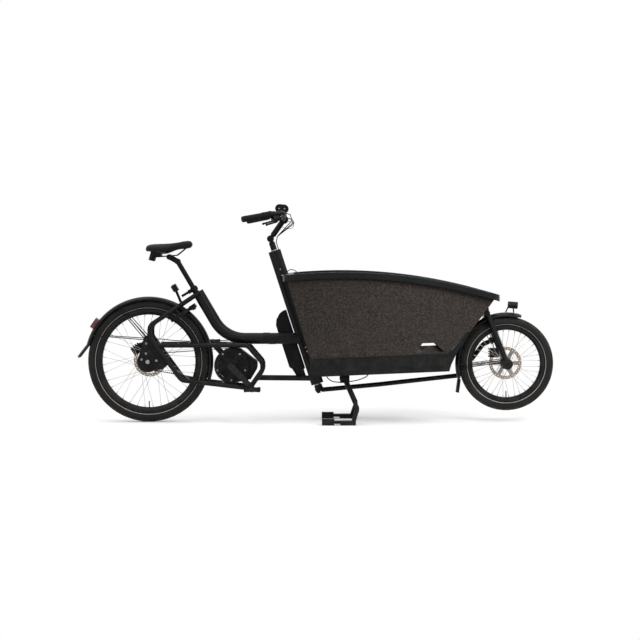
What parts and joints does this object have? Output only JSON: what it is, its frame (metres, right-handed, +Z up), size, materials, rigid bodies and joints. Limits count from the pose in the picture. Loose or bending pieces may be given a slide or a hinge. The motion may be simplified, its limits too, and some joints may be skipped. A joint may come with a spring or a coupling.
{
  "type": "electric cargo bicycle",
  "caption": "Two-wheeled front-loading electric cargo bicycle with a foam cargo box, linkage steering, belt drive, frame battery and a folding two-legged stand",
  "frame": {"origin": "on the ground, at the middle of the overall length and width", "axes": "+X forward, +Y to the rider's left, +Z up"},
  "size_m": [2.6199, 0.69, 1.1971],
  "materials": {
    "frame_paint": "satin black paint",
    "black_alloy": "black anodised",
    "rim_alloy": "black anodised rim",
    "steel": "bare steel",
    "spoke_steel": "black spokes",
    "tyre_rubber": "tyre rubber",
    "grip_rubber": "soft grip rubber",
    "belt_rubber": "toothed belt",
    "hose": "cable sheath",
    "guard_plastic": "mudguard plastic",
    "motor_shell": "motor housing",
    "battery_shell": "battery case",
    "tray_plastic": "moulded tray",
    "rim_plastic": "moulded box rim",
    "foam": "pressed bead foam",
    "floor": "coated board",
    "lamp_red": "red lens",
    "lamp_black": "lamp housing",
    "saddle_skin": "saddle cover"
  },
  "bodies": {
    "frame": {"main_tube": "frame_paint", "column_tube": "frame_paint", "column_fittings": "steel", "seat_sleeve": "black_alloy", "seat_clamp": "black_alloy", "seat_stays": "frame_paint", "motor_loops": "frame_paint", "lower_tube": "frame_paint", "dropouts": "frame_paint", "motor": "motor_shell", "rear_axle": "steel", "belt": "belt_rubber", "rear_guard": "guard_plastic", "rear_lamp": "lamp_red", "reflector": "lamp_black", "lock_body": "guard_plastic", "rear_caliper": "black_alloy", "battery_mount": "battery_shell", "platform": "frame_paint", "front_riser": "frame_paint", "tray": "tray_plastic", "cargo_box": "foam", "box_rim": "rim_plastic", "floor_board": "floor"},
    "rear_wheel": {"rear_tyre": "tyre_rubber", "rear_rim": "rim_alloy", "rear_spokes": "spoke_steel", "rear_hub": "black_alloy", "rear_rotor": "steel"},
    "rear_drive": {"rear_sprocket": "steel"},
    "front_wheel": {"front_tyre": "tyre_rubber", "front_rim": "rim_alloy", "front_spokes": "spoke_steel", "front_hub": "black_alloy", "front_rotor": "steel"},
    "fork": {"fork": "frame_paint", "front_guard": "guard_plastic", "headlight": "lamp_black", "front_caliper": "black_alloy"},
    "column": {"column_shaft": "black_alloy", "column_cables": "hose"},
    "rod": {"tie_rod": "frame_paint"},
    "bars": {"handlebar": "black_alloy", "bar_fittings": "black_alloy", "bar_grips": "grip_rubber", "bar_cables": "hose"},
    "brake_right": {"lever_right": "black_alloy"},
    "brake_left": {"lever_left": "black_alloy"},
    "shifter": {"twist_grip": "grip_rubber"},
    "crank": {"cranks": "black_alloy", "belt_ring": "black_alloy"},
    "tread_right": {"pedal_right": "guard_plastic"},
    "tread_left": {"pedal_left": "guard_plastic"},
    "legs": {"stand": "frame_paint", "stand_feet": "grip_rubber"},
    "seat": {"seatpost": "black_alloy", "saddle": "saddle_skin"},
    "seat_release": {"seat_lever": "black_alloy"},
    "shackle": {"lock_shackle": "steel"},
    "pack": {"battery": "battery_shell"}
  },
  "joints": [
    {"name": "steer", "type": "hinge", "parent": "frame", "child": "column", "pos_m": [-0.08139, 0, 0.49543], "axis": [-0.3079, 0, 0.9514], "range_deg": [-30, 30], "deforming": ["column_cables"]},
    {"name": "fork_steer", "type": "hinge", "parent": "frame", "child": "fork", "pos_m": [0.93796, 0, 0.602], "axis": [-0.3079, 0, 0.9514], "range_deg": [-31, 31]},
    {"name": "rod_turn", "type": "hinge", "parent": "column", "child": "rod", "pos_m": [0.01499, 0.1, 0.16506], "axis": [-0.3079, 0, 0.9514], "range_deg": [-31, 31]},
    {"name": "stem_tilt", "type": "hinge", "parent": "column", "child": "bars", "pos_m": [-0.24702, 0, 1.0073], "axis": [0, 1, 0], "range_deg": [-12, 18], "deforming": ["bar_cables"]},
    {"name": "front_wheel_spin", "type": "hinge", "parent": "fork", "child": "front_wheel", "pos_m": [1.05096, 0, 0.321], "axis": [0, 1, 0], "continuous": true},
    {"name": "rear_wheel_spin", "type": "hinge", "parent": "frame", "child": "rear_wheel", "pos_m": [-0.91704, 0, 0.3355], "axis": [0, 1, 0], "continuous": true},
    {"name": "crank_spin", "type": "hinge", "parent": "frame", "child": "crank", "pos_m": [-0.46104, 0, 0.312], "axis": [0, 1, 0], "continuous": true},
    {"name": "sprocket_spin", "type": "hinge", "parent": "frame", "child": "rear_drive", "pos_m": [-0.91704, 0, 0.3355], "axis": [0, 1, 0], "continuous": true},
    {"name": "pedal_right_spin", "type": "hinge", "parent": "crank", "child": "tread_right", "pos_m": [-0.34295, -0.151, 0.18971], "axis": [0, 1, 0], "continuous": true},
    {"name": "pedal_left_spin", "type": "hinge", "parent": "crank", "child": "tread_left", "pos_m": [-0.57913, 0.151, 0.43429], "axis": [0, 1, 0], "continuous": true},
    {"name": "stand_fold", "type": "hinge", "parent": "frame", "child": "legs", "pos_m": [0.15996, 0, 0.242], "axis": [0, 1, 0], "range_deg": [0, 85]},
    {"name": "brake_right_pull", "type": "hinge", "parent": "bars", "child": "brake_right", "pos_m": [-0.21762, -0.24006, 1.11109], "axis": [-0.385, 0.7982, -0.4633], "range_deg": [0, 14], "stiffness_Nm_per_rad": 1, "springref_deg": -8.59},
    {"name": "brake_left_pull", "type": "hinge", "parent": "bars", "child": "brake_left", "pos_m": [-0.21762, 0.24006, 1.11109], "axis": [0.385, 0.7982, 0.4633], "range_deg": [0, 14], "stiffness_Nm_per_rad": 1, "springref_deg": -8.59},
    {"name": "shift_twist", "type": "hinge", "parent": "bars", "child": "shifter", "pos_m": [-0.26741, -0.25209, 1.13173], "axis": [-0.8491, -0.503, -0.161], "range_deg": [-60, 60]},
    {"name": "seat_height", "type": "slide", "parent": "frame", "child": "seat", "axis": [-0.506, 0, 0.8625], "range_m": [-0.085, 0.1]},
    {"name": "seat_release_open", "type": "hinge", "parent": "frame", "child": "seat_release", "pos_m": [-0.6911, -0.021, 0.71748], "axis": [-0.506, 0, 0.8625], "range_deg": [0, 110]},
    {"name": "lock_close", "type": "hinge", "parent": "frame", "child": "shackle", "pos_m": [-0.74104, 0, 0.5895], "axis": [-0.5548, 0, 0.832], "range_deg": [0, 86]},
    {"name": "battery_tilt", "type": "hinge", "parent": "frame", "child": "pack", "pos_m": [-0.08916, 0.06, 0.25958], "axis": [-0.9514, 0, -0.3079], "range_deg": [0, 18]}
  ],
  "couplings": [
    {"joint": "fork_steer", "follows": "steer", "ratio": 1},
    {"joint": "rod_turn", "follows": "steer", "ratio": -1},
    {"joint": "sprocket_spin", "follows": "crank_spin", "ratio": 2.2917}
  ]
}
